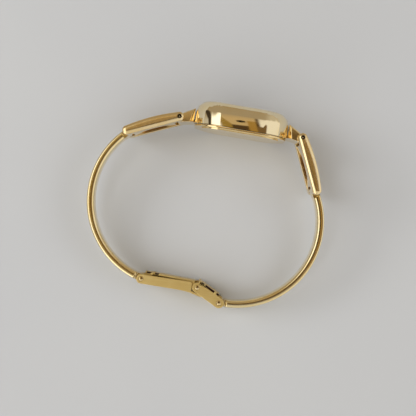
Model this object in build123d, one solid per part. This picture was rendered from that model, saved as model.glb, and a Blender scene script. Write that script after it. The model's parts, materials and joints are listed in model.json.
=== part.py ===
from build123d import *
import math
import os

# Bangle watch, in millimetres.
# The bangle frame has its origin on the rim of the watch case: X runs along the case from 12 to 6 o'clock,
# Y points out of the dial and Z is the bracelet's width, away from the crown.
# The watch frame is used inside the case: X as above, Y towards the crown and Z out of the dial.
# At the end the whole watch is laid on its flank, as it rests on a table, with Z up.

# Case
case_length = 24.0
case_width = 18.5
case_corner = 6.6
case_height = 6.4
case_shoulder = 3.1
case_wall = 1.5
shoulder_bands = 3
aperture_inset = 4.4
case_tilt = -9.8

# Crystal, dial and hands
crystal_inset = 3.65
crystal_thickness = 1.0
gasket_width = 0.25
dial_inset = 2.2
dial_thickness = 0.35
marker_length = 0.9
marker_width = 0.35
marker_height = 0.18
marker_margin = 0.75
hand_thickness = 0.12
hour_hand_length = 3.0
minute_hand_length = 4.4
hand_width = 0.5
hand_hub = 0.65
hand_widest_share = 0.67
hour_hand_turn = -120
minute_hand_turn = 120

# Caseback
back_inset = 0.15
back_band = 0.4
back_plateau_inset = 2.0
back_plateau = 0.3
snap_rim_height = 0.5
snap_rim_width = 0.7
seal_height = 0.25

# Heights above the case rim, as shares of the case's height
floor_share = 0.125
fifth_share = 0.227
crown_share = 0.273
third_share = 0.281
centre_share = 0.336
plate_share = 0.383
motion_share = 0.438
dial_share = 0.508
cavity_share = 0.625
hour_hand_share = 0.625
minute_hand_share = 0.688

# Movement
movement_length_share = 0.633
movement_width_share = 0.703
movement_corner = 1.8
bridge_thickness = 0.4
wheel_thickness = 0.2
teeth_along = 152
arbor_radius = 0.2
cannon_radius = 0.36
hour_tube_radius = 0.6
battery_share = 0.206
battery_height = 1.65
battery_end_gap = 0.2
battery_side_gap = 0.6
clamp_thickness = 0.15
coil_radius = 0.7
coil_length = 5.6
coil_core_half = 0.3
coil_end_gap = 0.9
coil_y = 1.2
board_thickness = 0.15
stator_thickness = 0.25
rotor_radius = 0.6
rotor_height = 0.5
rotor_gap = 0.2
screw_radius = 0.45
screw_head = 0.2

# Teeth
centre_teeth = 40
cannon_leaves = 10
third_teeth = 38
third_leaves = 10
fifth_teeth = 26
fifth_leaves = 8
rotor_leaves = 8
minute_teeth = 30
minute_leaves = 8
hour_teeth = 32
setting_teeth = 16
third_angle = -60
fifth_angle = -10
rotor_angle = 60
minute_angle = 150
setting_angle = 80
tooth_foot_share = 1.2
tooth_height_share = 0.8

# Crown and stem
crown_radius = 1.35
crown_length = 0.9
crown_sunk = 0.15
crown_gap = 0.15
crown_grooves = 20
crown_groove_depth = 0.1
stem_radius = 0.3
stem_length = 3.6
tube_radius = 0.6
tube_length = 0.9
yoke_thickness = 0.3
yoke_half = 0.65

# Lugs
lug_reach = 3.85
pin_height = 1.12
lug_width = 8.2
lug_gap = 0.15
lug_top = 4.1
lug_bottom = 0.55
lug_shoulder_back = 0.8
lug_shoulder_height = 2.5
lug_nose = 1.2
lug_bevel = 0.35
lug_end_bevel = 1.1
neck_width = 4.0
neck_height = 1.0

# Links
link_length = 13.8
link_width = 13.0
link_gap = 0.1
link_boss = 1.15
link_sagitta = 0.5
link_bridge = 2.1
link_rib = 1.5
link_round = 0.6
window_corner = 0.7
left_fold = 24.3
right_fold = 65.3

# Bars
bar_chord = 38.05
bar_sagitta = 11.5
bar_width = 4.5
bar_inner_half = 1.0
bar_side = 0.95
bar_dome = 0.95
bar_slope = 1.2
bar_neck = 3.0
knuckle_radius = 1.1
clasp_knuckle_width = 2.4
left_bend = 18.3

# Clasp
clasp_reach = 14.6
end_reach = 6.8
clasp_bend = 27.0
cover_width = 6.0
cover_sheet = 0.55
cover_round = 1.25
cover_inner_left = 1.15
cover_inner_right = 1.2
cover_side_end = 13.2
cover_corner = 0.7
lip_reach = 15.9
lip_drop = 2.4
leaf_sheet = 0.45
leaf_left = 2.05
leaf_right = 1.5
leaf_start_share = 0.8
leaf_slot_places = (1.6, 3.6)
leaf_slot_lengths = (1.4, 1.4)
slot_depth = 1.0
lip_slope = 0.25
lip_inset = 0.08
lip_room = 2.6
end_slot_places = (1.3, 4.0, 6.25)
end_slot_lengths = (1.2, 2.8, 0.9)
end_width = 7.2
end_round = 1.3
end_back_start = 1.15
end_sheet = 0.5
end_inner = 1.8

# Pins
lug_pin_radius = 0.5
lug_hole_radius = 0.57
lug_pin_inset = 0.8
bar_pin_radius = 0.45
clasp_pin_radius = 0.6
pin_proud = 0.06

# Fits
fit = 0.04
clearance = 0.1
overrun = 1.0

# Heights and places inside the case
movement_floor = floor_share * case_height
fifth_level = fifth_share * case_height
crown_level = crown_share * case_height
third_level = third_share * case_height
centre_level = centre_share * case_height
plate_level = plate_share * case_height
motion_level = motion_share * case_height
dial_level = dial_share * case_height
cavity_height = cavity_share * case_height
hour_hand_level = hour_hand_share * case_height
minute_hand_level = minute_hand_share * case_height
movement_length = movement_length_share * case_length
movement_width = movement_width_share * case_width
module = movement_length / teeth_along
battery_radius = battery_share * (movement_length + movement_width) / 2
battery_x = battery_radius + battery_end_gap - movement_length / 2
battery_y = battery_radius + battery_side_gap - movement_width / 2
coil_x = movement_length / 2 - coil_radius - coil_end_gap
pin_reach = case_length / 2 + lug_reach
lug_shoulder = pin_reach - lug_shoulder_back


# Plane geometry in the bangle frame
def reach(point, length, heading):
    """The point that lies a length away along a heading in degrees."""
    turn = math.radians(heading)
    return Vector(point.X + length * math.cos(turn), point.Y + length * math.sin(turn), 0)


def heading_of(start, end):
    return math.degrees(math.atan2(end.Y - start.Y, end.X - start.X))


def corner(start, end, start_length, end_length, side):
    """The third corner of a triangle on start-end: a side of 1 is left of it, and -1 is right of it."""
    base = (end - start).length
    along = (start_length**2 - end_length**2 + base**2) / (2 * base)
    away = math.sqrt(start_length**2 - along**2)
    heading = heading_of(start, end)
    return reach(reach(start, along, heading), away, heading + 90 * side)


bar_radius = (bar_chord**2 / 4 + bar_sagitta**2) / (2 * bar_sagitta)
bar_half_arc = math.degrees(math.asin(bar_chord / 2 / bar_radius))
clasp_span = math.sqrt(
    clasp_reach**2 + end_reach**2 + 2 * clasp_reach * end_reach * math.cos(math.radians(clasp_bend))
)
lug_left_pin = Vector(-pin_reach, pin_height, 0)
lug_right_pin = Vector(pin_reach, pin_height, 0)
left_heading = 180 + left_fold
right_heading = -right_fold
bar_left_pin = reach(lug_left_pin, link_length, left_heading)
bar_right_pin = reach(lug_right_pin, link_length, right_heading)
bar_left_heading = left_heading + left_bend + bar_half_arc
cover_pivot = reach(bar_left_pin, bar_chord, bar_left_heading)
end_pivot = corner(cover_pivot, bar_right_pin, clasp_span, bar_chord, -1)
latch_pivot = corner(cover_pivot, end_pivot, clasp_reach, end_reach, 1)
bar_right_heading = heading_of(bar_right_pin, end_pivot)
clasp_heading = heading_of(cover_pivot, latch_pivot)
end_heading = heading_of(end_pivot, latch_pivot)


def on_left(point, heading):
    """Where a piece goes whose X runs along the heading, with the wrist on the left of it."""
    return Location(point, (0, 0, heading)) * Rotation(180, 0, 0)


def on_right(point, heading):
    """Where a piece goes whose X runs along the heading, with the wrist on the right of it."""
    return Location(point, (0, 0, heading))


def in_watch(shape):
    """Turns a piece of the watch frame into the bangle frame."""
    return Rotation(-90, 0, 0) * shape


# Small builders
def slab(face, low, high):
    return Pos(0, 0, low) * extrude(face, amount=high - low)


def disc(radius, low, high, x=0, y=0):
    return Pos(x, y, low) * extrude(Circle(radius), amount=high - low)


def across(face, width, start=0):
    """A profile in X and Y made into a piece that spans a width about the middle plane."""
    if start:
        return Pos(0, 0, start) * extrude(face, amount=width - start) + Pos(0, 0, -width) * extrude(
            face, amount=width - start
        )
    return extrude(face, amount=width, both=True)


def pin_between(radius, half_length, x=0, y=0):
    return Pos(x, y, -half_length) * extrude(Circle(radius), amount=2 * half_length)


def case_plan(inset):
    return RectangleRounded(case_length - 2 * inset, case_width - 2 * inset, case_corner - inset)


def movement_plan(inset):
    outline = Rectangle(movement_length - 2 * inset, movement_width - 2 * inset)
    return chamfer(outline.vertices(), movement_corner - inset)


# Watch head
def case_body():
    body = slab(case_plan(0), 0, case_height - case_shoulder)
    for band in range(shoulder_bands):
        low_inset, low = shoulder_point(band)
        _, high = shoulder_point(band + 1)
        lean = 90 * (band + 0.5) / shoulder_bands
        body += Pos(0, 0, low) * extrude(case_plan(low_inset), amount=high - low, taper=lean)
    body -= slab(case_plan(case_wall), -overrun, cavity_height)
    body -= slab(case_plan(aperture_inset), 0, case_height + overrun)
    body -= slab(case_plan(crystal_inset - gasket_width), crystal_level, case_height + overrun)
    body -= crown_recess()
    return body - stem_axis() * slab(Circle(tube_radius + fit), 0, case_width)


def shoulder_point(band):
    """How far a corner between two bands of the round shoulder is set in, and its height."""
    turn = math.radians(90 * band / shoulder_bands)
    inset = case_shoulder * (1 - math.cos(turn))
    return inset, case_height - case_shoulder * (1 - math.sin(turn))


crystal_level = case_height - crystal_thickness
crown_face = case_width / 2 - crown_sunk
crown_seat = crown_face - crown_length


def stem_axis():
    """Z of what it places runs out along the stem, from the middle of the case."""
    return Pos(0, 0, crown_level) * Rotation(-90, 0, 0)


def crown_recess():
    """A round pocket in the flank, which the crown lies in."""
    pocket = slab(Circle(crown_radius + crown_gap), crown_seat - crown_gap, case_width)
    return stem_axis() * pocket


def crystal():
    return slab(case_plan(crystal_inset), crystal_level, case_height)


def crystal_gasket():
    ring = case_plan(crystal_inset - gasket_width) - case_plan(crystal_inset)
    return slab(ring, crystal_level, case_height)


def dial():
    plate = slab(case_plan(dial_inset), dial_level, dial_level + dial_thickness)
    return plate - disc(hour_tube_radius + clearance, 0, case_height)


def dial_markers():
    """Plain bars at the hours, set in from the edge of the opening."""
    top = dial_level + dial_thickness
    x_reach = case_length / 2 - aperture_inset - marker_margin
    y_reach = case_width / 2 - aperture_inset - marker_margin
    bars = []
    for hour in range(12):
        turn = math.radians(30 * hour)
        stretch = 1 / math.hypot(math.cos(turn) / x_reach, math.sin(turn) / y_reach)
        bar = Pos(stretch - marker_length / 2, 0, top + marker_height / 2) * Box(
            marker_length, marker_width, marker_height
        )
        bars.append(Rotation(0, 0, 30 * hour) * bar)
    return bars


def hand(length, level, bore):
    blade = Polygon(
        (-length / 4, -hand_width / 4),
        (length * hand_widest_share, -hand_width / 2),
        (length, 0),
        (length * hand_widest_share, hand_width / 2),
        (-length / 4, hand_width / 4),
        align=None,
    )
    return slab(blade + Circle(hand_hub + bore) - Circle(bore), level, level + hand_thickness)


def hour_hand():
    turned = hand(hour_hand_length, hour_hand_level, hour_tube_radius)
    return Rotation(0, 0, hour_hand_turn) * turned


def minute_hand():
    turned = hand(minute_hand_length, minute_hand_level, cannon_radius)
    return Rotation(0, 0, minute_hand_turn) * turned


# Caseback
def caseback():
    band = slab(case_plan(back_inset), -back_band, 0)
    plateau = slab(case_plan(back_plateau_inset), -back_band - back_plateau, -back_band)
    rim = case_plan(case_wall + fit) - case_plan(case_wall + snap_rim_width)
    return band + plateau + slab(rim, 0, snap_rim_height)


def caseback_gasket():
    ring = case_plan(case_wall + fit) - case_plan(case_wall + snap_rim_width)
    return slab(ring, snap_rim_height, snap_rim_height + seal_height)


# Movement
cannon_distance = module * (cannon_leaves + minute_teeth) / 2
third_distance = module * (centre_teeth + third_leaves) / 2
fifth_distance = module * (third_teeth + fifth_leaves) / 2
rotor_distance = module * (fifth_teeth + rotor_leaves) / 2
setting_distance = module * (minute_teeth + setting_teeth) / 2
third_place = reach(Vector(0, 0), third_distance, third_angle)
fifth_place = reach(third_place, fifth_distance, fifth_angle)
rotor_place = reach(fifth_place, rotor_distance, rotor_angle)
minute_place = reach(Vector(0, 0), cannon_distance, minute_angle)
setting_place = reach(minute_place, setting_distance, setting_angle)


def movement_ring():
    """The plastic holder between the movement and the case wall, which the dial rests on."""
    ring = slab(case_plan(case_wall + clearance) - movement_plan(-fit), movement_floor, dial_level)
    return ring - stem_axis() * slab(Circle(tube_radius + clearance), 0, case_width)


def main_plate():
    plate = slab(movement_plan(0), plate_level, dial_level)
    wheels = ((hour_teeth, Vector()), (minute_teeth, minute_place), (setting_teeth, setting_place))
    for teeth, place in wheels:
        plate -= disc(module * teeth / 2 + 3 * clearance, motion_level, dial_level, place.X, place.Y)
    plate -= disc(cannon_radius + clearance, 0, case_height)
    return plate - disc(battery_radius + clearance, 0, battery_top, battery_x, battery_y)


battery_top = movement_floor + clamp_thickness + battery_height


def bridge_plan():
    """The bridge covers the wheels, from the centre to the coil's end of the movement."""
    half = movement_length / 2
    cover = Pos(half / 2, -movement_width / 8) * Rectangle(half, movement_width * 3 / 4)
    return (movement_plan(0) & cover) - Pos(coil_x, coil_y) * Rectangle(
        2 * coil_radius + 2 * clearance, coil_length + 2 * clearance
    )


def train_bridge():
    bridge = slab(bridge_plan(), movement_floor, movement_floor + bridge_thickness)
    bridge -= disc(battery_radius + 2 * clearance, 0, case_height, battery_x, battery_y)
    for x, y in bridge_screw_places():
        bridge += disc(screw_radius + clearance, movement_floor, plate_level, x, y)
    return bridge


def bridge_screw_places():
    far = (movement_length / 4 - screw_radius * 3 / 2, movement_width / 4 - screw_radius)
    near = (screw_radius, screw_radius * 2 - movement_width / 2)
    return [far, near]


def bridge_screws():
    heads = []
    for x, y in bridge_screw_places():
        heads.append(disc(screw_radius, movement_floor - screw_head, movement_floor, x, y))
    return heads


def battery():
    low = movement_floor + clamp_thickness
    can = disc(battery_radius, low, low + battery_height, battery_x, battery_y)
    return chamfer(can.edges().group_by(Axis.Z)[0], clamp_thickness)


def battery_clamp():
    strip = Pos(battery_x, battery_y) * Rectangle(battery_radius, 2 * battery_radius)
    return slab(strip & movement_plan(0), movement_floor, movement_floor + clamp_thickness)


def circuit_board():
    low = plate_level - board_thickness
    half = movement_length / 2
    middle = Pos(-half / 2 - yoke_half - clearance, movement_width / 4)
    board = movement_plan(clearance) & (middle * Rectangle(half, movement_width / 3))
    board -= Pos(battery_x, battery_y) * Circle(battery_radius + clearance)
    board -= Circle(module * centre_teeth / 2 + 2 * clearance)
    return slab(board, low, plate_level)


def coil():
    along = Pos(coil_x, coil_y, coil_height) * Rotation(90, 0, 0)
    winding = along * pin_between(coil_radius, coil_length / 2 - coil_radius)
    return winding + along * Box(2 * coil_core_half, 2 * coil_core_half, coil_length)


coil_height = plate_level - stator_thickness - coil_radius


def stator():
    """A thin plate under the main plate that leads from the coil's core to the rotor."""
    arm = Pos((coil_x + rotor_place.X) / 2, rotor_place.Y) * Rectangle(
        coil_x - rotor_place.X + 2 * coil_radius, 4 * rotor_radius
    )
    arm += Pos(rotor_place.X, rotor_place.Y) * Circle(2 * rotor_radius)
    arm &= movement_plan(clearance)
    arm -= Pos(rotor_place.X, rotor_place.Y) * Circle(rotor_radius + rotor_gap)
    return slab(arm, plate_level - stator_thickness, plate_level)


# Wheels
def toothed(teeth, gap_at=0.0, bore=0.0):
    """A wheel's outline with pointed teeth. A gap between teeth faces the angle gap_at."""
    pitch = module * teeth / 2
    foot = pitch - tooth_foot_share * module
    tip = pitch + tooth_height_share * module
    step = 360 / teeth
    points = []
    for tooth in range(teeth):
        for radius, turn in ((foot, gap_at + tooth * step), (tip, gap_at + (tooth + 0.5) * step)):
            turn = math.radians(turn)
            points.append((radius * math.cos(turn), radius * math.sin(turn)))
    outline = Polygon(*points, align=None)
    return outline - Circle(bore) if bore else outline


def tooth_to(teeth, angle):
    """The value of gap_at that turns a tooth, and not a gap, towards an angle."""
    return angle + 180 / teeth


def wheel(teeth, level, gap_at, bore=0.0):
    return slab(toothed(teeth, gap_at, bore), level, level + wheel_thickness)


def centre_wheel():
    """The centre wheel, its arbor through the dial and the cannon pinion on it."""
    arbor = disc(cannon_radius, movement_floor + bridge_thickness, minute_hand_level + hand_thickness)
    pinion = wheel(cannon_leaves, motion_level + fit, tooth_to(cannon_leaves, minute_angle))
    return wheel(centre_teeth, centre_level - wheel_thickness, third_angle) + arbor + pinion


def train_wheel(place, teeth, level, gap_at, leaves, pinion_level, pinion_gap, top):
    body = wheel(teeth, level, gap_at) + wheel(leaves, pinion_level, pinion_gap)
    body += disc(arbor_radius, movement_floor + bridge_thickness, top)
    return Pos(place.X, place.Y) * body


def third_wheel():
    pinion_gap = tooth_to(third_leaves, third_angle + 180)
    level = third_level - wheel_thickness
    pinion_level = centre_level - wheel_thickness
    return train_wheel(
        third_place, third_teeth, level, fifth_angle, third_leaves, pinion_level, pinion_gap, plate_level
    )


def fifth_wheel():
    pinion_gap = tooth_to(fifth_leaves, fifth_angle + 180)
    level = fifth_level - wheel_thickness
    pinion_level = third_level - wheel_thickness
    return train_wheel(
        fifth_place, fifth_teeth, level, rotor_angle, fifth_leaves, pinion_level, pinion_gap, plate_level
    )


def rotor():
    low = fifth_level - wheel_thickness
    magnet = disc(rotor_radius, plate_level - rotor_height, plate_level)
    pinion = wheel(rotor_leaves, low, tooth_to(rotor_leaves, rotor_angle + 180))
    arbor = disc(arbor_radius, movement_floor + bridge_thickness, plate_level)
    return Pos(rotor_place.X, rotor_place.Y) * (magnet + pinion + arbor)


def minute_wheel():
    lower = motion_level + fit
    pinion_low = lower + wheel_thickness
    body = wheel(minute_teeth, lower, minute_angle + 180)
    body += wheel(minute_leaves, pinion_low, tooth_to(minute_leaves, minute_angle + 180))
    return Pos(minute_place.X, minute_place.Y) * body


def hour_wheel():
    """The wheel over the cannon pinion, with the tube that carries the hour hand."""
    low = motion_level + fit + wheel_thickness
    bore = cannon_radius + fit
    tube = slab(Circle(hour_tube_radius) - Circle(bore), low, hour_hand_level + hand_thickness)
    return wheel(hour_teeth, low, minute_angle, bore) + tube


def setting_wheel():
    lower = motion_level + fit
    body = wheel(setting_teeth, lower, tooth_to(setting_teeth, setting_angle + 180))
    return Pos(setting_place.X, setting_place.Y) * body


# Crown and stem
def crown():
    """Fluted knob, sunk in the flank of the case."""
    body = slab(Circle(crown_radius), crown_seat, crown_face)
    groove = Rotation(0, 0, 45) * Rectangle(2 * crown_groove_depth, 2 * crown_groove_depth)
    notch = slab(Pos(crown_radius) * groove, crown_seat - overrun, crown_face + overrun)
    for turn in range(crown_grooves):
        body -= Rotation(0, 0, turn * 360 / crown_grooves) * notch
    body -= slab(Circle(tube_radius + 2 * fit), crown_seat - overrun, crown_seat + tube_length / 2)
    return stem_axis() * body


def crown_tube():
    wall = Circle(tube_radius) - Circle(stem_radius + fit)
    return stem_axis() * slab(wall, crown_seat - tube_length, crown_seat + tube_length / 4)


def crown_gasket():
    seal = Circle(tube_radius) - Circle(stem_radius + fit)
    return stem_axis() * slab(seal, crown_seat + tube_length / 4, crown_seat + tube_length / 2)


def stem():
    end = crown_seat + tube_length / 2
    return stem_axis() * slab(Circle(stem_radius), end - stem_length, end)


def setting_yoke():
    """The collar that the stem turns in, which slides with it when the crown is pulled."""
    low = crown_seat + tube_length / 2 - stem_length + yoke_thickness
    collar = Rectangle(2 * yoke_half, 2 * yoke_half) - Circle(stem_radius + fit)
    return stem_axis() * slab(collar, low, low + yoke_thickness)


# Lugs and links
def lug():
    """A lug for the right end: a block that slopes down to the pin, and the neck to the case."""
    inner = case_length / 2 + lug_gap
    block = Polygon(
        (inner, lug_bottom),
        (pin_reach, pin_height - lug_nose),
        (pin_reach + lug_nose / 2, pin_height),
        (lug_shoulder, lug_shoulder_height),
        (inner, lug_top),
        align=None,
    )
    profile = block + Pos(pin_reach, pin_height) * Circle(lug_nose)
    body = across(profile, lug_width / 2)
    middle = Vector((inner + lug_shoulder) / 2, (lug_top + lug_shoulder_height) / 2, 0)
    sides = body.edges().sort_by_distance(middle + Vector(0, 0, lug_width / 2))[:1]
    sides += body.edges().sort_by_distance(middle - Vector(0, 0, lug_width / 2))[:1]
    body = chamfer(sides, lug_bevel)
    low = lug_end_corner(inner, lug_end_bevel, lug_bottom)
    wedge = loft([low, lug_end_corner(inner, lug_bevel, lug_top)])
    body -= wedge + mirror(wedge, about=Plane.XY)
    neck = Polygon(
        (case_length / 2, lug_bottom),
        (inner + overrun, lug_bottom),
        (inner + overrun, lug_bottom + neck_height),
        (inner, lug_bottom + neck_height),
        (case_length / 2, lug_bottom + neck_height / 2),
        align=None,
    )
    body += across(neck, neck_width / 2)
    return body - pin_between(lug_pin_radius + fit, lug_width, pin_reach, pin_height)


def lug_end_corner(inner, size, level):
    """The corner that a slanted cut takes off the end which faces the case, at one height."""
    half = lug_width / 2
    cut = Polygon(
        (inner - overrun, half - size - overrun),
        (inner + size + overrun, half + overrun),
        (inner - overrun, half + overrun),
        align=None,
    )
    return Plane.XZ.offset(-level) * cut


def link():
    """An open link. X runs from the lug pin to the bar pin, and Y points away from the wrist."""
    end = link_length
    radius = (end**2 / 4 + link_sagitta**2) / (2 * link_sagitta)
    half_arc = math.degrees(math.asin((end / 2 + 2 * link_boss) / radius))
    section = Pos(radius) * Rectangle(2 * link_boss, link_width)
    section = chamfer(section.vertices(), link_round)
    body = revolve(Plane.XZ * section, axis=Axis.Z, revolution_arc=2 * half_arc)
    body = Pos(end / 2, link_sagitta - radius) * Rotation(0, 0, 90 - half_arc) * body
    outline = Pos(end / 2) * Rectangle(end, 4 * link_boss)
    outline += Circle(link_boss) + Pos(end) * Circle(link_boss)
    body &= across(outline, link_width / 2)
    rail_gap = lug_width / 2 + link_gap
    lug_room = link_boss + 4 * link_gap
    body -= Pos((lug_room - overrun * 2) / 2, 0, 0) * Box(lug_room + overrun * 2, case_height, 2 * rail_gap)
    body -= link_windows(lug_room + link_bridge, end - link_boss - link_bridge, rail_gap)
    knuckle_room = bar_width / 2 + link_gap
    slot_start = end - knuckle_radius - 2 * link_gap
    body -= Pos(slot_start + link_bridge, 0, 0) * Box(2 * link_bridge, case_height, 2 * knuckle_room)
    body -= pin_between(lug_hole_radius, link_width)
    return body - pin_between(bar_pin_radius + fit, link_width, end)


def link_windows(start, stop, half_width):
    """Two openings side by side, with a waisted rib between them."""
    opening = Rectangle(stop - start, half_width - link_rib / 2)
    opening = chamfer(opening.vertices(), window_corner)
    offset_z = (half_width + link_rib / 2) / 2
    tool = extrude(Plane.XZ * opening, amount=case_height, both=True)
    middle = (start + stop) / 2
    return Pos(middle, 0, offset_z) * tool + Pos(middle, 0, -offset_z) * tool


def lug_pin():
    return pin_between(lug_pin_radius, link_width / 2 - lug_pin_inset)


def bar_pin():
    return pin_between(bar_pin_radius, link_width / 2 - pin_proud)


# Bars
def bar():
    """A curved bar with bevelled outer edges. X runs along its chord from the link to the clasp."""
    low = bar_radius - bar_inner_half
    side = low + bar_side
    half = bar_width / 2
    top = side + bar_dome
    section = Polygon(
        (low, -half),
        (side, -half),
        (top, bar_slope - half),
        (top, half - bar_slope),
        (side, half),
        (low, half),
        align=None,
    )
    body = revolve(Plane.XZ * section, axis=Axis.Z, revolution_arc=2 * bar_half_arc)
    body = Pos(bar_chord / 2, bar_sagitta - bar_radius) * Rotation(0, 0, 90 - bar_half_arc) * body
    body += pin_between(knuckle_radius, half)
    body += pin_between(knuckle_radius, half, bar_chord)
    side_room = across(Circle(bar_neck / 2 + clearance), bar_width, clasp_knuckle_width / 2)
    body -= Pos(bar_chord) * side_room
    body -= pin_between(bar_pin_radius + fit, bar_width)
    return body - pin_between(clasp_pin_radius + fit, bar_width, bar_chord)


# Clasp
def cover_profile():
    """Side plate of the cover. X runs from the cover's pin to the latch pin, and Y points outwards."""
    outer = Spline(
        [(0, cover_round), (clasp_reach / 2, cover_round + lip_inset), (cover_side_end, cover_end_drop)],
        tangents=[(1, 0), (1, lip_slope)],
    )
    face = make_face(
        [
            outer,
            Line((cover_side_end, cover_end_drop), (cover_side_end, -cover_inner_right)),
            Line((cover_side_end, -cover_inner_right), (0, -cover_inner_left)),
            ThreePointArc((0, -cover_inner_left), (-cover_round, 0), (0, cover_round)),
        ]
    )
    foot = face.vertices().sort_by_distance((cover_side_end, -cover_inner_right))[0]
    return fillet(foot, cover_corner)


cover_end_drop = lip_drop - lip_slope * (lip_reach - cover_side_end)


def clasp_cover():
    half = cover_width / 2
    shell = across(cover_profile(), half)
    inner = cover_profile()
    room = across(inner, half - cover_sheet)
    room = Pos(0, -cover_sheet, 0) * room
    open_top = Pos(clasp_reach / 2, -cover_round - overrun, 0) * Box(
        clasp_reach * 2, 2 * overrun + cover_sheet, 2 * half - 2 * cover_sheet
    )
    body = shell - room - open_top
    hinge_room = Pos(-overrun / 2, 0, 0) * Box(
        2 * cover_round + 2 * fit + overrun, 4 * cover_round, cover_width - 2 * cover_sheet
    )
    body -= hinge_room
    body += across(lip_face(), half)
    return body - pin_between(clasp_pin_radius + fit, cover_width)


def lip_face():
    """The outer sheet's tongue, which covers the gap over the end link."""
    return Polygon(
        (cover_side_end - cover_sheet, cover_end_drop - cover_sheet - lip_slope * cover_sheet),
        (lip_reach, lip_drop - cover_sheet),
        (lip_reach + cover_sheet / 4, lip_drop - cover_sheet / 2),
        (lip_reach, lip_drop),
        (cover_side_end - cover_sheet, cover_end_drop - lip_slope * cover_sheet),
        align=None,
    )


def leaf_height(x):
    share = x / clasp_reach
    return leaf_left + (leaf_right - leaf_left) * share


def clasp_leaf():
    """The inner leaf: knuckles on the cover's pin, a thin strip and a scooped nose at the latch pin."""
    half = cover_width / 2 - cover_sheet - clearance
    start = knuckle_radius * leaf_start_share
    stop = clasp_reach - clasp_pin_radius - 2 * clearance
    strip = Polygon(
        (start, -leaf_height(start)),
        (stop, -leaf_height(stop)),
        (stop, leaf_sheet - leaf_height(stop)),
        (start, leaf_sheet - leaf_height(start)),
        align=None,
    )
    body = across(strip, half)
    for place, length in zip(leaf_slot_places, leaf_slot_lengths):
        body -= edge_notches(place, -leaf_left, half, length)
    arm = Polygon(
        (0, -knuckle_radius),
        (knuckle_radius * 3, -leaf_height(0)),
        (knuckle_radius * 3, leaf_sheet - leaf_height(0)),
        (knuckle_radius, 0),
        align=None,
    )
    knuckle_start = clasp_knuckle_width / 2 + clearance
    body += across(Circle(knuckle_radius) + arm, half - slot_depth / 2, knuckle_start)
    body += across(leaf_nose(stop), half)
    body -= pin_between(clasp_pin_radius + fit, cover_width)
    return body - pin_between(clasp_pin_radius + clearance, cover_width, clasp_reach)


def edge_notches(x, y, half, length):
    """A pair of notches in both edges of a strip, one on each side of the middle plane."""
    notch = Pos(x, y, half) * Box(length, 2 * end_sheet, 2 * slot_depth)
    return notch + Pos(0, 0, -2 * half) * notch


def leaf_nose(stop):
    """The end of the leaf, turned outwards to stand behind the latch pin."""
    back = stop - 2 * leaf_sheet
    return Polygon(
        (back, -leaf_height(back)),
        (stop, -leaf_height(stop)),
        (stop, 0),
        (back + leaf_sheet, clasp_pin_radius),
        (back, clasp_pin_radius),
        align=None,
    )


def end_link():
    """Short box link. X runs from the bar's pin to the latch pin and Y points outwards."""
    half = end_width / 2
    outline = SlotCenterToCenter(end_reach, 2 * end_round)
    outline = Pos(end_reach / 2, 0) * outline
    cheeks = across(outline, half, half - end_sheet)
    inside = half - end_sheet
    back_stop = end_reach + clasp_pin_radius
    back = Pos((end_back_start + back_stop) / 2, end_sheet / 2 - end_inner) * Rectangle(
        back_stop - end_back_start, end_sheet
    )
    body = cheeks + across(back, half)
    front_stop = end_reach - lip_room
    front = Pos((knuckle_radius + front_stop) / 2, end_round - end_sheet / 2) * Rectangle(
        front_stop - knuckle_radius, end_sheet
    )
    body += across(front, inside)
    body += across(Circle(end_round), inside, clasp_knuckle_width / 2 + clearance)
    for place, length in zip(end_slot_places, end_slot_lengths):
        body -= edge_notches(place, -end_inner, half, length)
    body -= pin_between(clasp_pin_radius + fit, end_width)
    return body - pin_between(clasp_pin_radius + fit, end_width, end_reach)


def clasp_pin(width):
    """A plain rod whose ends stand a little proud of the side plates."""
    return pin_between(clasp_pin_radius, width / 2 + pin_proud)


# Placing every piece in the bangle frame
watch_pieces = {
    "case_body": case_body,
    "crystal": crystal,
    "crystal_gasket": crystal_gasket,
    "dial": dial,
    "dial_markers": dial_markers,
    "hour_hand": hour_hand,
    "minute_hand": minute_hand,
    "caseback": caseback,
    "caseback_gasket": caseback_gasket,
    "movement_ring": movement_ring,
    "main_plate": main_plate,
    "train_bridge": train_bridge,
    "bridge_screws": bridge_screws,
    "battery": battery,
    "battery_clamp": battery_clamp,
    "circuit_board": circuit_board,
    "coil": coil,
    "stator": stator,
    "rotor": rotor,
    "centre_wheel": centre_wheel,
    "third_wheel": third_wheel,
    "fifth_wheel": fifth_wheel,
    "minute_wheel": minute_wheel,
    "hour_wheel": hour_wheel,
    "setting_wheel": setting_wheel,
    "crown": crown,
    "crown_tube": crown_tube,
    "crown_gasket": crown_gasket,
    "stem": stem,
    "setting_yoke": setting_yoke,
}


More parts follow.
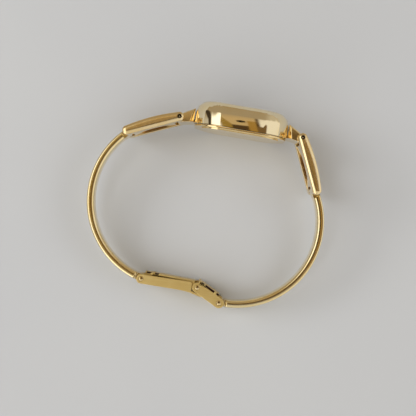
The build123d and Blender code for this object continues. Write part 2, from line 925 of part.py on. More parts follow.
def assemble():
    """All pieces in the bangle frame, each a list of solids."""
    pieces = {}
    for name, build in watch_pieces.items():
        made = build()
        made = made if isinstance(made, list) else [made]
        pieces[name] = [in_watch(shape) for shape in made]
    pieces["lug_right"] = [lug()]
    pieces["lug_left"] = [Rotation(0, 180, 0) * lug()]
    left_link = on_left(lug_left_pin, left_heading)
    right_link = on_right(lug_right_pin, right_heading)
    left_bar = on_left(bar_left_pin, bar_left_heading)
    right_bar = on_right(bar_right_pin, bar_right_heading)
    clasp = on_left(cover_pivot, clasp_heading)
    end = on_right(end_pivot, end_heading)
    pieces["link_left"] = [left_link * link()]
    pieces["link_right"] = [right_link * link()]
    pieces["lug_pin_left"] = [left_link * lug_pin()]
    pieces["lug_pin_right"] = [right_link * lug_pin()]
    pieces["bar_left"] = [left_bar * bar()]
    pieces["bar_right"] = [right_bar * bar()]
    pieces["bar_pin_left"] = [left_bar * bar_pin()]
    pieces["bar_pin_right"] = [right_bar * bar_pin()]
    pieces["clasp_cover"] = [clasp * clasp_cover()]
    pieces["clasp_leaf"] = [clasp * clasp_leaf()]
    pieces["cover_pin"] = [clasp * clasp_pin(cover_width)]
    pieces["end_link"] = [end * end_link()]
    pieces["end_pin"] = [end * clasp_pin(end_width)]
    pieces["latch_pin"] = [end * Pos(end_reach) * clasp_pin(end_width)]
    return pieces


def lay_down():
    """The turn that lays the watch down: the case's edge and the end link's cheek touch the table."""
    upright = Rotation(0, 0, case_tilt)
    straight = case_length / 2 - case_corner
    flank = [Vector(x, 0, -case_width / 2) for x in (-straight, straight)]
    cheek = Vector(end_pivot.X, end_pivot.Y, -end_width / 2) + Vector(0, -end_round, 0)
    tilt = Location((0, 0, 0), (0, 0, case_tilt))
    first, second, third = [(tilt * Location(spot)).position for spot in (*flank, cheek)]
    up = (first - third).cross(second - third).normalized()
    up = up if up.Z > 0 else -up
    axis = up.cross(Vector(0, 0, 1))
    turn = math.degrees(math.asin(axis.length))
    tip = Axis((0, 0, 0), axis.normalized())
    return lambda shape: (upright * shape).rotate(tip, turn)


def main():
    os.makedirs("parts", exist_ok=True)
    pieces = assemble()
    lay = lay_down()
    laid = {name: [lay(shape) for shape in shapes] for name, shapes in pieces.items()}
    box = Compound(children=[shape for shapes in laid.values() for shape in shapes]).bounding_box()
    middle = box.center()
    shift = Pos(-middle.X, -middle.Y, -box.min.Z)
    for name, shapes in laid.items():
        solids = [solid for shape in shapes for solid in (shift * shape).solids()]
        export_step(Compound(children=solids), f"parts/{name}.step")
        print(name, len(solids), "solids")
    print("box", box.size)
    named = {
        "case": Vector(0, 0, 0),
        "dial": Vector(0, dial_level, 0),
        "back": Vector(0, -back_band - back_plateau, 0),
        "crown": Vector(0, crown_level, -crown_face),
        "third": Vector(third_place.X, 0, -third_place.Y),
        "fifth": Vector(fifth_place.X, 0, -fifth_place.Y),
        "rotor": Vector(rotor_place.X, 0, -rotor_place.Y),
        "minute_wheel": Vector(minute_place.X, 0, -minute_place.Y),
        "setting": Vector(setting_place.X, 0, -setting_place.Y),
        "lug_left": lug_left_pin,
        "lug_right": lug_right_pin,
        "bar_left": bar_left_pin,
        "bar_right": bar_right_pin,
        "cover": cover_pivot,
        "latch": latch_pivot,
        "end": end_pivot,
    }
    for name, point in named.items():
        spot = (shift * lay(Vertex(*point))).center()
        print("point", name, [round(v, 4) for v in spot])
    origin = lay(Vertex(0, 0, 0)).center()
    for name, step in {"x": (1, 0, 0), "dial": (0, 1, 0), "width": (0, 0, 1)}.items():
        print("axis", name, [round(v, 6) for v in lay(Vertex(*step)).center() - origin])


main()
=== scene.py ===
import math
import bmesh
import bpy
from mathutils import Matrix, Vector
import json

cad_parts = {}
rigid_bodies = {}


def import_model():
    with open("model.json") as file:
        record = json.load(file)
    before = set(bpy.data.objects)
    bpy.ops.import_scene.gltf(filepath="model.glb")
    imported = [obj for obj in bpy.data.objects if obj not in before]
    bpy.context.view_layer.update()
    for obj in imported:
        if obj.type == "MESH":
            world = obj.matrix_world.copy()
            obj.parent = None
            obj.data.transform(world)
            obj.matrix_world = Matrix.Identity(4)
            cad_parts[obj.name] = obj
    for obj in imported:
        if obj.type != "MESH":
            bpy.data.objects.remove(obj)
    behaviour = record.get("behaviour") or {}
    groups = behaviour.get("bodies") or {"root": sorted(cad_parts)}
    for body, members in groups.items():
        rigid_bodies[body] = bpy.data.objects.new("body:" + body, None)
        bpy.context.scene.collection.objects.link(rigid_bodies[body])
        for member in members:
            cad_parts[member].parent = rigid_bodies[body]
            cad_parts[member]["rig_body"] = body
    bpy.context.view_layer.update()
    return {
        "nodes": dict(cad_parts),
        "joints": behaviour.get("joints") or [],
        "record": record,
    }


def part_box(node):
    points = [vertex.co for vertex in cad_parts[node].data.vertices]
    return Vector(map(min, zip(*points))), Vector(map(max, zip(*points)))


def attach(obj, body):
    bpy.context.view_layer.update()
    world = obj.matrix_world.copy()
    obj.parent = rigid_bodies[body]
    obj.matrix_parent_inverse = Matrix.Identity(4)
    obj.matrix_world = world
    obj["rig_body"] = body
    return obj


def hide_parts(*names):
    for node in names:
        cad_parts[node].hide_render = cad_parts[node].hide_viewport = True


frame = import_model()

MM = 0.001
joints = {joint["name"]: joint for joint in frame["joints"]}

# The watch's own axes: along the case from 12 to 6 o'clock, out of the dial, and across the bracelet.
CASE = Vector(joints["minute_turn"]["pos_m"])
OUT = -Vector(joints["minute_turn"]["axis"]).normalized()
WIDTH = Vector(joints["lug_hinge_right"]["axis"]).normalized()
ALONG = OUT.cross(WIDTH).normalized()

# Sizes that the link rails share with the pins and holes in them, in millimetres
RAIL_OUTER = 6.5
RAIL_INNER = 4.25
PIN_HOLE_RADIUS = 0.57


def at(along, out, width):
    """A point of the watch's own axes, in millimetres, as a place in the frame."""
    return CASE + MM * (along * ALONG + out * OUT + width * WIDTH)


def axes(origin, x, y, z):
    """The matrix that takes a piece's own axes to these."""
    matrix = Matrix((x, y, z)).transposed().to_4x4()
    matrix.translation = origin
    return matrix


LOOP_MIDDLE = at(0.0, -20.0, 0.0)


def joint_place(name):
    return Vector(joints[name]["pos_m"])


def out_of_loop(along, place):
    """The direction square to along, in the plane of the bangle, that points out of the loop at a place."""
    outward = along.cross(WIDTH).normalized()
    return outward if outward.dot(place - LOOP_MIDDLE) > 0 else -outward


class Value:
    """A number or colour on its way through a material, which sums can be written with."""

    def __init__(self, maker, socket):
        self.maker = maker
        self.socket = socket

    def math(self, operation, *others):
        return self.maker.node("Math", {"operation": operation}, dict(enumerate((self, *others))))

    def __add__(self, other):
        return self.math("ADD", other)

    def __sub__(self, other):
        return self.math("SUBTRACT", other)

    def __mul__(self, other):
        return self.math("MULTIPLY", other)

    def __truediv__(self, other):
        return self.math("DIVIDE", other)

    def __pow__(self, other):
        return self.math("POWER", other)

    def __radd__(self, other):
        return self.maker.node("Math", {"operation": "ADD"}, {0: other, 1: self})

    def __rsub__(self, other):
        return self.maker.node("Math", {"operation": "SUBTRACT"}, {0: other, 1: self})

    def __gt__(self, other):
        return self.math("GREATER_THAN", other)

    def __lt__(self, other):
        return self.math("LESS_THAN", other)

    def between(self, low, high):
        """0 below low, 1 above high, and smooth between them."""
        settings = {"interpolation_type": "SMOOTHSTEP"}
        return self.maker.node("MapRange", settings, {"Value": self, "From Min": low, "From Max": high})


class Maker:
    """Makes the nodes of one material or of the world."""

    def __init__(self, owner):
        owner.use_nodes = True
        self.owner = owner
        self.tree = owner.node_tree
        self.tree.nodes.clear()

    def node(self, kind, settings, inputs, output=0):
        """One node: its settings are set first, then the values or links of its sockets."""
        made = self.tree.nodes.new("ShaderNode" + kind)
        for name, setting in settings.items():
            if name == "stops":
                ramp = made.color_ramp
                ramp.elements.remove(ramp.elements[1])
                for place, (position, colour) in enumerate(setting):
                    stop = ramp.elements.new(position) if place else ramp.elements[0]
                    stop.position = position
                    stop.color = (*colour, 1.0)
            else:
                setattr(made, name, setting)
        for name, value in inputs.items():
            socket = made.inputs[name]
            if isinstance(value, Value):
                self.tree.links.new(value.socket, socket)
            elif isinstance(value, tuple) and len(value) == 3 and socket.type == "RGBA":
                socket.default_value = (*value, 1.0)
            else:
                socket.default_value = value
        return Value(self, made.outputs[output]) if made.outputs else None

    def place(self):
        """Where a point is on the object, in millimetres."""
        spot = self.node("TexCoord", {}, {}, "Object")
        return self.node("Mapping", {}, {"Vector": spot, "Scale": (1000.0, 1000.0, 1000.0)})

    def along(self, origin, x, y, z):
        """Where a point is in millimetres from an origin, measured along three axes."""
        turned = Matrix((x, y, z)).to_euler()
        sockets = {0: self.place(), 1: tuple(1000.0 * origin)}
        moved = self.node("VectorMath", {"operation": "SUBTRACT"}, sockets)
        return self.node("Mapping", {}, {"Vector": moved, "Rotation": tuple(turned)})

    def stretched(self, spot, scale):
        return self.node("Mapping", {}, {"Vector": spot, "Scale": scale})

    def noise(self, spot, scale, detail=3.0, roughness=0.5):
        sockets = {"Vector": spot, "Scale": scale, "Detail": detail, "Roughness": roughness}
        return self.node("TexNoise", {}, sockets)

    def mix(self, share, first, second):
        """A colour between two colours."""
        return self.node("Mix", {"data_type": "RGBA"}, {0: share, 6: first, 7: second}, 2)

    def dome(self, place, half, slope):
        """A height that falls away from 0 on both sides, to a slope at half, and evenly beyond it."""
        away = place.math("ABSOLUTE")
        near = away.math("MINIMUM", half)
        return 0.0 - (near * near * (0.5 * slope / half) + (away - near) * slope)

    def split(self, spot):
        """The three parts of a vector."""
        parts = self.tree.nodes.new("ShaderNodeSeparateXYZ")
        self.tree.links.new(spot.socket, parts.inputs[0])
        return tuple(Value(self, output) for output in parts.outputs)

    def bump(self, height, strength, distance_mm):
        sockets = {"Height": height, "Strength": strength, "Distance": distance_mm * MM}
        return self.node("Bump", {}, sockets)

    def surface(self, **sockets):
        """The Principled surface and the output. Names have _ for a space."""
        named = {name.replace("_", " "): value for name, value in sockets.items()}
        shader = self.node("BsdfPrincipled", {}, named)
        self.node("OutputMaterial", {}, {"Surface": shader})
        return self.owner


def new_maker(name):
    return Maker(bpy.data.materials.new(name))


def tinted(colour, shares):
    """A colour with its red, green and blue taken down to their shares."""
    return tuple(share * tone for share, tone in zip(shares, colour))


def polished_gold(name, colour=(0.90, 0.74, 0.44), roughness=0.07, seam_shade_and_dome=False):
    """Bright gold plate: faint hairlines, a few smudges and a slightly warmer tint in patches.

    On the case it also paints shade as a dark line above its foot, where the back is pressed in, and
    makes the flat flanks read as gently domed ones.
    """
    make = new_maker(name)
    spot = make.place()
    patches = make.noise(spot, 0.18, 2.0)
    hairlines = make.noise(make.stretched(spot, (0.4, 9.0, 2.0)), 2.2, 4.0, 0.6)
    smudges = make.noise(spot, 0.55, 3.0, 0.55).between(0.5, 0.72)
    warm = tinted(colour, (0.98, 0.93, 0.82))
    normal = make.bump(hairlines, 0.12, 0.004)
    tint = make.mix(patches.between(0.35, 0.7), colour, warm)
    if seam_shade_and_dome:
        along, out = make.split(make.along(CASE, ALONG, OUT, WIDTH))[:2]
        # Painted shade: a dark line along the groove above the case's foot
        seam_shade = out.between(0.04, 0.10) * (1.0 - out.between(0.20, 0.28))
        tint = make.mix(seam_shade * 0.85, tint, (0.10, 0.05, 0.015))
        crest = 1.65
        height = make.dome(along, 6.0, 0.14) + make.dome(out - crest, 1.8, 0.09)
        sockets = {"Height": height, "Strength": 1.0, "Distance": MM, "Normal": normal}
        normal = make.node("Bump", {}, sockets)
    return make.surface(
        Base_Color=tint,
        Metallic=1.0,
        Roughness=roughness + smudges * 0.035 + hairlines * 0.03,
        Normal=normal,
    )


def brushed_gold(name, colour=(0.80, 0.63, 0.28), roughness=0.3):
    """Satin gold plate, brushed along the case's long side."""
    make = new_maker(name)
    spot = make.along(CASE, ALONG, OUT, WIDTH)
    fine = make.noise(make.stretched(spot, (0.25, 22.0, 22.0)), 1.0, 3.0, 0.65)
    coarse = make.noise(make.stretched(spot, (0.1, 5.0, 5.0)), 1.0, 2.0, 0.5)
    lines = fine * 0.65 + coarse * 0.35
    patches = make.noise(make.place(), 0.25, 2.0)
    darker = tinted(colour, (0.86, 0.80, 0.66))
    tint = lines.between(0.35, 0.68) * 0.55 + patches.between(0.35, 0.7) * 0.3
    return make.surface(
        Base_Color=make.mix(tint, darker, colour),
        Metallic=1.0,
        Roughness=roughness + lines * 0.16,
        Normal=make.bump(lines, 0.35, 0.02),
    )


def plain_metal(name, colour, roughness, grain=(1.0, 1.0, 1.0)):
    """Machined metal with a fine grain in one direction."""
    make = new_maker(name)
    spot = make.place()
    lines = make.noise(make.stretched(spot, grain), 6.0, 3.0, 0.6)
    patches = make.noise(spot, 0.6, 2.0)
    darker = tinted(colour, (0.8, 0.8, 0.8))
    return make.surface(
        Base_Color=make.mix(patches.between(0.3, 0.7), darker, colour),
        Metallic=1.0,
        Roughness=roughness + lines * 0.12,
        Normal=make.bump(lines, 0.15, 0.01),
    )


def pin_steel():
    """Pin steel, bright at the tip in its middle, with a dark ring of painted shade around it."""
    make = new_maker("steel_pin")
    spot = make.place()
    shares = []
    for side in ("left", "right"):
        along, out = make.split(make.along(joint_place("lug_hinge_" + side), ALONG, OUT, WIDTH))[:2]
        radius = (along * along + out * out) ** 0.5
        shares.append(1.0 - radius.between(0.16, 0.24))
    tip = shares[0] + shares[1]
    grease = make.noise(spot, 3.0, 3.0, 0.6)
    return make.surface(
        # The near-black colour around the tip is painted shade in the pin's hole
        Base_Color=make.mix(tip, (0.030, 0.018, 0.010), (0.80, 0.78, 0.74)),
        Metallic=0.4 + tip * 0.6,
        Roughness=0.55 - tip * 0.25 + grease * 0.1,
        Normal=make.bump(grease, 0.15, 0.02),
    )


def moulded(name, colour, roughness=0.45):
    """Moulded plastic or rubber, with a fine skin."""
    make = new_maker(name)
    spot = make.place()
    skin = make.noise(spot, 9.0, 3.0, 0.6)
    patches = make.noise(spot, 0.7, 2.0)
    darker = tinted(colour, (0.82, 0.82, 0.82))
    return make.surface(
        Base_Color=make.mix(patches.between(0.3, 0.7), darker, colour),
        Roughness=roughness + skin * 0.12,
        Normal=make.bump(skin, 0.2, 0.02),
    )


def clear_crystal():
    """Mineral glass with a few faint smears."""
    make = new_maker("crystal_glass")
    smears = make.noise(make.place(), 0.4, 2.0).between(0.45, 0.75)
    return make.surface(
        Base_Color=(0.98, 0.99, 1.0),
        Roughness=0.01 + smears * 0.012,
        IOR=1.5,
        Transmission_Weight=1.0,
    )


def sunray_dial():
    """Champagne dial, brushed in rays from the centre, with a printed minute track."""
    make = new_maker("dial_sunray")
    x, y = make.split(make.along(CASE, ALONG, -WIDTH, OUT))[:2]
    turn = y.math("ARCTAN2", x)
    radius = (x * x + y * y) ** 0.5
    fan = make.node("CombineXYZ", {}, {"X": turn * 30.0, "Y": radius * 0.15})
    rays = make.node("TexNoise", {"noise_dimensions": "2D"}, {"Vector": fan, "Scale": 1.0, "Detail": 4.0})
    minute = ((turn * (60 / math.tau) + 0.5).math("FRACT") - 0.5).math("ABSOLUTE")
    line = minute * radius < 0.42
    # The track follows a rounded oblong with half sides of 7 and 5 mm.
    edge_x = x.math("ABSOLUTE") / 7.0
    edge_y = y.math("ABSOLUTE") / 5.0
    edge = (edge_x ** 4.0 + edge_y ** 4.0) ** 0.25
    track = (edge > 0.93) * (edge < 1.0) * line
    gold = make.mix(rays.between(0.35, 0.65), (0.62, 0.47, 0.22), (0.80, 0.66, 0.38))
    return make.surface(
        Base_Color=make.mix(track, gold, (0.05, 0.035, 0.02)),
        Metallic=0.75,
        Roughness=0.26 + rays * 0.14 + track * 0.3,
        Normal=make.bump(rays, 0.25, 0.01),
    )


def wound_copper():
    """Enamelled copper wire: fine turns across the coil."""
    make = new_maker("copper_winding")
    sockets = {
        "Vector": make.along(CASE, ALONG, OUT, WIDTH), "Scale": 2.4, "Distortion": 0.35, "Detail": 1.0,
    }
    turns = make.node("TexWave", {"wave_type": "BANDS", "bands_direction": "Z"}, sockets)
    return make.surface(
        Base_Color=make.mix(turns, (0.42, 0.13, 0.05), (0.83, 0.38, 0.16)),
        Metallic=0.85,
        Roughness=0.3 + turns * 0.1,
        Normal=make.bump(turns, 0.8, 0.04),
    )


def board():
    """Green circuit board with copper tracks under the lacquer."""
    make = new_maker("circuit_lacquer")
    spot = make.along(CASE, ALONG, -WIDTH, OUT)
    settings = {"feature": "DISTANCE_TO_EDGE", "distance": "MANHATTAN"}
    cells = make.node("TexVoronoi", settings, {"Vector": spot, "Scale": 1.3})
    track = cells < 0.06
    grain = make.noise(spot, 6.0)
    return make.surface(
        Base_Color=make.mix(track, (0.015, 0.12, 0.06), (0.10, 0.26, 0.10)),
        Roughness=0.32 + grain * 0.15,
        Normal=make.bump(track * 1.0 + grain * 0.1, 0.3, 0.03),
        Coat_Weight=0.4,
    )


gold_bright = polished_gold("gold_polished")
# The case's gold, with painted shade in a line along the groove above its foot
gold_case = polished_gold("gold_case", (0.90, 0.77, 0.51), 0.05, seam_shade_and_dome=True)
gold_bar = polished_gold("gold_bar", (0.89, 0.75, 0.45), 0.12)
gold_rail = polished_gold("gold_rail", (0.90, 0.73, 0.43), 0.16)
gold_satin = brushed_gold("gold_satin")
# Steel pin tips in a ring of painted shade
pin_tip_and_shade = pin_steel()
# Near-black plates that paint the shade inside the clasp's edge notches
notch_shade_paint = moulded("notch_shadow", (0.03, 0.002, 0.002), 0.8)
finishes = {
    "polished_gold": gold_bright,
    "satin_gold": gold_satin,
    "steel": plain_metal("steel_turned", (0.60, 0.60, 0.61), 0.2),
    "brass": plain_metal("brass_machined", (0.78, 0.56, 0.25), 0.28, (1.0, 8.0, 1.0)),
    "crystal": clear_crystal(),
    "dial": sunray_dial(),
    "seal": moulded("seal_rubber", (0.03, 0.03, 0.03), 0.6),
    "holder": moulded("holder_plastic", (0.72, 0.70, 0.64)),
    "copper": wound_copper(),
    "circuit": board(),
}
slot_of = {part["node"]: part["material_slot"] for part in frame["record"]["subparts"]}
for name, node in frame["nodes"].items():
    node.data.materials.clear()
    node.data.materials.append(finishes[slot_of[name]])


# Bends in degrees: from the first on an edge is rounded, from the second on it counts as sharp.
BLUNT_BEND = 38.0
SHARP_BEND = 66.0


def whole_faces(name):
    """The mesh of a CAD node with its triangles merged and its flat faces made whole."""
    mesh = bmesh.new()
    mesh.from_mesh(frame["nodes"][name].data)
    bmesh.ops.remove_doubles(mesh, verts=mesh.verts, dist=0.002 * MM)
    bmesh.ops.dissolve_limit(mesh, angle_limit=math.radians(1.0), verts=mesh.verts, edges=mesh.edges)
    return mesh


def cut_off(mesh, place, outward):
    """Cuts away what lies beyond a plane and closes the cut."""
    cut = bmesh.ops.bisect_plane(
        mesh, geom=mesh.verts[:] + mesh.edges[:] + mesh.faces[:], dist=0.001 * MM,
        plane_co=place, plane_no=outward, clear_outer=True,
    )
    rim = [part for part in cut["geom_cut"] if isinstance(part, bmesh.types.BMEdge)]
    bmesh.ops.holes_fill(mesh, edges=rim, sides=0)


def new_object(name, mesh, finish=None):
    """Makes an object in the scene from a mesh that is finished with."""
    data = bpy.data.meshes.new(name)
    mesh.to_mesh(data)
    mesh.free()
    if finish:
        data.materials.append(finish)
    made = bpy.data.objects.new(name, data)
    bpy.context.scene.collection.objects.link(made)
    return made


def weigh_normals(piece, weight=50):
    """Lets the large faces of a piece decide how its small ones are shaded."""
    weighted = piece.modifiers.new("face_weights", "WEIGHTED_NORMAL")
    weighted.keep_sharp = True
    weighted.weight = weight


def rounded_copy(name, finish, crisp, soft):
    """The CAD node with its edges rounded: sharp ones by the crisp width, blunt ones by the soft one."""
    mesh = whole_faces(name)
    weight = mesh.edges.layers.float.new("bevel_weight_edge")
    widest = max(crisp, soft)
    for edge in mesh.edges:
        bend = math.degrees(edge.calc_face_angle(0.0))
        if bend > SHARP_BEND:
            edge[weight] = crisp / widest
        elif bend > BLUNT_BEND:
            edge[weight] = soft / widest
    for face in mesh.faces:
        face.smooth = True
        face.material_index = 0
    piece = new_object(name + "_finished", mesh, finish)
    rounding = piece.modifiers.new("edge_rounding", "BEVEL")
    rounding.limit_method = "WEIGHT"
    rounding.width = widest * MM
    rounding.segments = 4
    rounding.use_clamp_overlap = False
    rounding.miter_outer = "MITER_SHARP"
    weigh_normals(piece, 60)
    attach(piece, frame["nodes"][name]["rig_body"])
    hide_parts(name)


# Names, finish, crisp width and soft width
for names, finish, crisp, soft in (
    (("case_body",), gold_case, 0.12, 0.30),
    (("caseback", "crown", "bar_pin_left", "bar_pin_right"), gold_bright, 0.12, 0.30),
    (("hour_hand", "minute_hand", "dial_markers"), gold_bright, 0.06, 0.30),
    (("lug_left", "lug_right"), gold_bright, 0.12, 0.10),
    (("clasp_cover", "clasp_leaf", "end_link"), gold_satin, 0.10, 0.12),
    (("cover_pin", "latch_pin", "end_pin"), gold_bright, 0.15, 0.30),
):
    for name in names:
        rounded_copy(name, finish, crisp, soft)


def turned_piece(name, profile, origin, axis, finish):
    """A round piece: an outline of radii and heights that starts and ends on the axis, spun about it."""
    side = axis.orthogonal().normalized()
    mesh = bmesh.new()
    points = [mesh.verts.new(origin + MM * (radius * side + height * axis)) for radius, height in profile]
    edges = [mesh.edges.new(pair) for pair in zip(points, points[1:])]
    bmesh.ops.spin(
        mesh, geom=points + edges, cent=origin, axis=axis, angle=math.tau, steps=48, use_merge=True,
    )
    bmesh.ops.remove_doubles(mesh, verts=mesh.verts, dist=0.001 * MM)
    bmesh.ops.recalc_face_normals(mesh, faces=mesh.faces)
    for face in mesh.faces:
        face.smooth = True
    piece = new_object(name, mesh, finish)
    weigh_normals(piece)
    return piece


def link_rail(side, sign):
    """One side rail of a link, with a domed outer face.

    Its round ends sit on the two pins. Between them it is straight on the wrist side and arched outside.
    """
    boss, crest, dome, dome_reach = 1.15, 1.65, 0.5, 1.06
    start = joint_place("lug_hinge_" + side)
    to_end = joint_place("bar_hinge_" + side) - start
    length = to_end.length / MM
    along = to_end.normalized()
    outward = out_of_loop(along, start)
    mesh = bmesh.new()
    outline = []
    for step in range(15):
        turn = math.radians(90 + 180 * step / 14)
        outline.append((boss * math.cos(turn), boss * math.sin(turn)))
    for step in range(15):
        turn = math.radians(-90 + 180 * step / 14)
        outline.append((length + boss * math.cos(turn), boss * math.sin(turn)))
    for step in range(1, 20):
        share = step / 20
        rise = (crest - boss) * 4 * share * (1 - share)
        outline.append((length * (1 - share), boss + rise))
    inner_face = start + MM * sign * RAIL_INNER * WIDTH
    points = [mesh.verts.new(inner_face + MM * (x * along + y * outward)) for x, y in outline]
    made = bmesh.ops.extrude_face_region(mesh, geom=[mesh.faces.new(points)])
    moved = [part for part in made["geom"] if isinstance(part, bmesh.types.BMVert)]
    bmesh.ops.translate(mesh, verts=moved, vec=MM * sign * (RAIL_OUTER - dome - RAIL_INNER) * WIDTH)
    bmesh.ops.recalc_face_normals(mesh, faces=mesh.faces)
    inner_edges = [edge for edge in mesh.edges if not any(vert in moved for vert in edge.verts)]
    top = next(face for face in mesh.faces if all(vert in moved for vert in face.verts))
    reach, rise = 0.0, 0.0
    for step in range(1, 11):
        turn = math.radians(90 * (step / 10) ** 1.25)
        next_reach, next_rise = dome_reach * (1 - math.cos(turn)), dome * math.sin(turn)
        bmesh.ops.inset_region(
            mesh, faces=[top], thickness=(next_reach - reach) * MM, depth=(next_rise - rise) * MM,
            use_even_offset=True, use_boundary=True,
        )
        reach, rise = next_reach, next_rise
    inner_edges = [edge for edge in inner_edges if edge.is_valid]
    bmesh.ops.bevel(
        mesh, geom=inner_edges, affect="EDGES", offset=0.15 * MM, offset_type="OFFSET", segments=2,
        profile=0.5, material=-1, clamp_overlap=True,
    )
    return mesh


def link_middle(side, half=4.6):
    """The bridges and the rib of a link: the CAD node between the two rails."""
    mesh = whole_faces("link_" + side)
    for sign in (1, -1):
        cut_off(mesh, joint_place("lug_hinge_" + side) + MM * sign * half * WIDTH, sign * WIDTH)
    return mesh


def add_piece(name, mesh, finish, node, rounding=0.0):
    """Puts a mesh into the scene as a smooth-shaded piece that stands for a CAD node."""
    for face in mesh.faces:
        face.smooth = True
    if rounding:
        weight = mesh.edges.layers.float.new("bevel_weight_edge")
        for edge in mesh.edges:
            edge[weight] = float(math.degrees(edge.calc_face_angle(0.0)) > BLUNT_BEND)
    piece = new_object(name, mesh, finish)
    if rounding:
        bevel = piece.modifiers.new("edge_rounding", "BEVEL")
        bevel.limit_method = "WEIGHT"
        bevel.width = rounding * MM
        bevel.segments = 3
        bevel.use_clamp_overlap = True
    weigh_normals(piece)
    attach(piece, frame["nodes"][node]["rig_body"])
    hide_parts(node)
    return piece


def drill(piece, origin, radius, depth_from, depth_to):
    """A round hole in a piece along the bracelet's width, cut by a cylinder that goes away again."""
    tool_mesh = bmesh.new()
    matrix = axes(origin + MM * 0.5 * (depth_from + depth_to) * WIDTH, ALONG, OUT, -WIDTH)
    bmesh.ops.create_cone(
        tool_mesh, cap_ends=True, segments=40, radius1=radius * MM, radius2=radius * MM,
        depth=MM * (depth_to - depth_from), matrix=matrix,
    )
    bmesh.ops.recalc_face_normals(tool_mesh, faces=tool_mesh.faces)
    tool = new_object("drill", tool_mesh)
    cut = piece.modifiers.new("drilled", "BOOLEAN")
    cut.operation = "DIFFERENCE"
    cut.solver = "EXACT"
    cut.object = tool
    piece.modifiers.move(len(piece.modifiers) - 1, 0)
    shape = piece.evaluated_get(bpy.context.evaluated_depsgraph_get())
    baked = bpy.data.meshes.new_from_object(shape)
    piece.modifiers.clear()
    piece.data = baked
    bpy.data.objects.remove(tool)


for side in ("left", "right"):
    name = "link_" + side
    add_piece(name + "_middle", link_middle(side), gold_bright, name, rounding=0.06)
    for sign, edge in ((1, "near"), (-1, "far")):
        rail = add_piece(name + "_rail_" + edge, link_rail(side, sign), gold_rail, name)
        depths = sorted((sign * (RAIL_INNER - 0.25), sign * (RAIL_OUTER + 0.5)))
        drill(rail, joint_place("lug_hinge_" + side), PIN_HOLE_RADIUS, *depths)


def bar_frame(side):
    """The centre of a bar's arc, its radius and half angle, and the axes of the plane that it lies in."""
    start = joint_place("bar_hinge_" + side)
    end = joint_place("leaf_hinge" if side == "left" else "end_hinge")
    chord = (end - start).length / MM
    sagitta = 11.5
    radius = (chord * chord / 4 + sagitta * sagitta) / (2 * sagitta)
    along = (end - start).normalized()
    middle = 0.5 * (start + end)
    outward = out_of_loop(along, middle)
    centre = middle - MM * (radius - sagitta) * outward
    return centre, radius, math.asin(chord / 2 / radius), along, outward


def bar_sweep(side):
    """The arc of a bar between its two eyes: a rounded section spun about the middle of the arc.

    The section's middle runs a little inside the arc of the pins, and its inner corners are the rounder ones.
    """
    half_thick, half_wide, shift = 0.95, 2.25, -0.05
    outer_corner, inner_corner = 0.5, 0.75
    top_room, foot_room = 1.25, 1.65
    centre, radius, half_arc, along, outward = bar_frame(side)
    begin = half_arc - top_room / radius
    sweep = begin + half_arc - foot_room / radius
    radial = math.cos(begin) * outward - math.sin(begin) * along
    mesh = bmesh.new()
    points = []
    for quarter, (q_sign, w_sign) in enumerate(((1, 1), (-1, 1), (-1, -1), (1, -1))):
        corner = outer_corner if q_sign > 0 else inner_corner
        for step in range(8):
            turn = math.radians(90 * (quarter + step / 7))
            q = q_sign * (half_thick - corner) + corner * math.cos(turn)
            w = w_sign * (half_wide - corner) + corner * math.sin(turn)
            points.append(mesh.verts.new(centre + MM * ((radius + shift + q) * radial + w * WIDTH)))
    face = mesh.faces.new(points)
    bmesh.ops.spin(
        mesh, geom=[face] + list(face.edges) + list(face.verts), cent=centre, axis=outward.cross(along),
        angle=sweep, steps=84, use_merge=False, use_duplicate=False,
    )
    rims = [edge for edge in mesh.edges if edge.is_boundary]
    if rims:
        bmesh.ops.holes_fill(mesh, edges=rims, sides=0)
    bmesh.ops.recalc_face_normals(mesh, faces=mesh.faces)
    return mesh


def bar_eye(side, sign, room=1.9):
    """The end of a bar around its pin: the CAD node, cut off where the swept arc has begun."""
    centre, radius, half_arc, along, outward = bar_frame(side)
    turn = half_arc - room / radius
    tangent = math.cos(turn) * along - sign * math.sin(turn) * outward
    mesh = whole_faces("bar_" + side)
    cut_off(mesh, centre, -sign * tangent)
    return mesh


for side in ("left", "right"):
    name = "bar_" + side
    add_piece(name + "_arc", bar_sweep(side), gold_bar, name)
    for sign, end in ((-1, "top"), (1, "foot")):
        add_piece(name + "_eye_" + end, bar_eye(side, sign), gold_bar, name, rounding=0.12)


def middle_of(node):
    low, high = (Vector(corner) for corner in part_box(node))
    return 0.5 * (low + high)


def notch_shade_plates(node, origin, slots, faces, floor):
    """Thin near-black plates of painted shade on the floors of the edge notches of a clasp sheet, on both
    sides.

    slots gives the place and length of each notch, from the pin at origin towards the latch pin. faces
    gives the sheet's two faces at such a place, and floor how far from the middle the floors are.
    """
    along = (middle_of("latch_pin") - origin).normalized()
    inward = -out_of_loop(along, origin)
    play, thickness = 0.02, 0.06
    mesh = bmesh.new()
    for place, length in slots:
        low, high = faces(place)
        for sign in (1, -1):
            centre = origin + MM * (place * along + 0.5 * (low + high) * inward + sign * floor * WIDTH)
            size = (length - 2 * play, high - low - play, thickness)
            scale = Matrix.Diagonal((*(MM * side for side in size), 1.0))
            matrix = axes(centre, along, inward, along.cross(inward)) @ scale
            bmesh.ops.create_cube(mesh, size=1.0, matrix=matrix)
    bmesh.ops.bevel(
        mesh, geom=mesh.edges[:], affect="EDGES", offset=0.012 * MM, offset_type="OFFSET", segments=2,
        profile=0.5, material=-1,
    )
    piece = new_object(node + "_notch_shade_plates", mesh, notch_shade_paint)
    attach(piece, frame["nodes"][node]["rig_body"])


def leaf_faces(place):
    """The faces of the clasp's leaf, which runs down from 2.05 to 1.5 mm over its length of 14.6 mm."""
    top = 2.05 - 0.55 * place / 14.6
    return top - 0.42, top


def end_faces(place):
    """The faces of the end link's inner wall, the same all along it."""
    return 1.33, 1.8


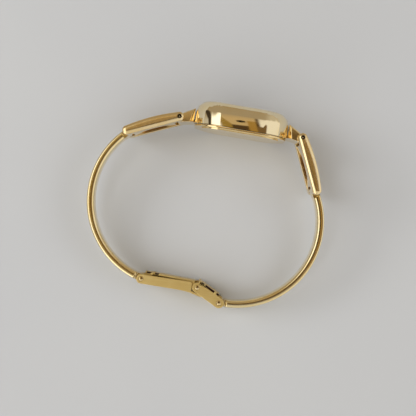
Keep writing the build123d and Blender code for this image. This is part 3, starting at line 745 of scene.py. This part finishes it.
# Painted shade in the notches of the leaf and the end link
notch_shade_plates("clasp_leaf", middle_of("cover_pin"), ((1.78, 1.36), (3.78, 1.36)), leaf_faces, 1.39)
notch_shade_plates("end_link", middle_of("end_pin"), ((1.51, 0.74), (3.98, 2.8), (6.23, 0.9)), end_faces, 2.64)

# A lug pin ends below the link's face: a ring of painted shade, and in its middle the bright tip of the pin.
for side in ("left", "right"):
    node = "lug_pin_" + side
    end = RAIL_OUTER - 0.8
    half = [
        (0.0, end + 0.02), (0.10, end), (0.17, end - 0.06), (0.20, end - 0.14), (0.21, end - 0.5),
        (0.44, end - 0.5), (0.49, end - 0.45), (0.5, end - 0.3),
    ]
    half = [(radius, height - 0.02) for radius, height in half]
    profile = half + [(radius, -height) for radius, height in reversed(half)]
    pin = turned_piece("lug_pin_tips_" + side, profile, middle_of(node), WIDTH, pin_tip_and_shade)
    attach(pin, frame["nodes"][node]["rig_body"])
    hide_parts(node)

# Table, light and camera
table_mesh = bmesh.new()
bmesh.ops.create_grid(table_mesh, x_segments=1, y_segments=1, size=1.2)
table = new_object("table_top", table_mesh)
make = new_maker("table_matt")
mottle = make.noise(make.place(), 0.012, 2.0)
table.data.materials.append(
    make.surface(
        Base_Color=make.mix(mottle.between(0.3, 0.7), (0.585, 0.61, 0.65), (0.605, 0.63, 0.665)),
        Roughness=0.55,
        Specular_IOR_Level=0.3,
    )
)


def lamp(name, place, width, height, power, colour=(1.0, 1.0, 1.0)):
    """A soft lamp that faces the watch and isn't seen in its gold."""
    data = bpy.data.lights.new(name, "AREA")
    data.shape = "RECTANGLE"
    data.size = width
    data.size_y = height
    data.energy = power
    data.color = colour
    made = bpy.data.objects.new(name, data)
    made.location = place
    made.visible_glossy = False
    made.rotation_euler = (-Vector(place)).to_track_quat("-Z", "Y").to_euler()
    bpy.context.scene.collection.objects.link(made)


lamp("window_left", (-0.56, 0.12, 0.27), 0.30, 0.20, 1.3, (1.0, 0.99, 0.975))
lamp("window_right", (0.60, 0.05, 0.45), 0.40, 0.30, 0.5)

world = bpy.data.worlds.new("room")
bpy.context.scene.world = world
make = Maker(world)
# The room as the gold mirrors it, by direction: right and far are from -1 to 1 on the picture's sides
right, far = make.split(make.node("TexCoord", {}, {}, "Generated"))[:2]
left = 0.0 - right

# Overhead: tan ceiling, a dark zone towards the desk, a gold patch and wedge, a dark line and a dark oval
desk = (1.0 - far.between(-0.03, 0.0)) * (1.0 - right.math("ABSOLUTE").between(0.11, 0.14))
overhead = make.mix(desk, (0.62, 0.465, 0.26), (0.09, 0.055, 0.025))
gold_patch = right.between(0.105, 0.115) * (1.0 - far.between(0.16, 0.20))
overhead = make.mix(gold_patch, overhead, (0.42, 0.26, 0.07))
gold_wedge = (right + far * 0.45 < -0.11) * left.between(0.10, 0.12)
overhead = make.mix(gold_wedge, overhead, (0.36, 0.24, 0.06))
overhead = make.mix(right.between(0.215, 0.225), overhead, (0.09, 0.05, 0.015))
across = (right - 0.025) / 0.062
over = (far - 0.135) / 0.042
overhead = make.mix(across * across + over * over < 1.0, overhead, (0.01, 0.008, 0.006))

# Around it: pale wall in front, window on the left, cream wall and shelf on the right, dim wall behind
room = make.mix((0.0 - far).between(0.20, 0.32), overhead, (0.78, 0.75, 0.70))
room = make.mix(left.between(0.235, 0.265), room, (0.62, 0.60, 0.56))
window = left.between(0.255, 0.275) * (1.0 - left.between(0.78, 0.82))
room = make.mix(window, room, (1.85, 1.82, 1.78))
room = make.mix(right.between(0.25, 0.28), room, (1.00, 0.97, 0.92))
shelf = right.between(0.20, 0.24) * (1.0 - right.between(0.50, 0.60)) * (1.0 - far.between(-0.02, 0.03))
room = make.mix(shelf * (far > -0.30), room, (0.20, 0.125, 0.055))
back_wall = far.between(0.20, 0.42)
room = make.mix(back_wall, room, (0.42, 0.35, 0.25))
room = make.mix(right.between(0.25, 0.8) * back_wall * 0.5, room, (0.80, 0.76, 0.68))
window_frame = left.between(0.82, 0.84) * (1.0 - left.between(0.905, 0.925))
room = make.mix(window_frame, room, (0.06, 0.045, 0.03))
light = make.node("Background", {}, {"Color": room, "Strength": 0.88})
make.node("OutputWorld", {}, {"Surface": light})

# The photo's camera: straight above the flank, with a focal length of 846 pixels in a picture of 416
camera_data = bpy.data.cameras.new("camera")
camera_data.sensor_width = 36.0
camera_data.lens = camera_data.sensor_width * 846 / 416
camera_data.clip_start = 0.005
camera = bpy.data.objects.new("camera", camera_data)
up = (-0.170 * ALONG + 0.985 * OUT).normalized()
camera.matrix_world = axes(at(-4.80, -20.54, 220.0), up.cross(WIDTH), up, WIDTH)
bpy.context.scene.collection.objects.link(camera)
bpy.context.scene.camera = camera
bpy.context.scene.view_settings.view_transform = "Standard"
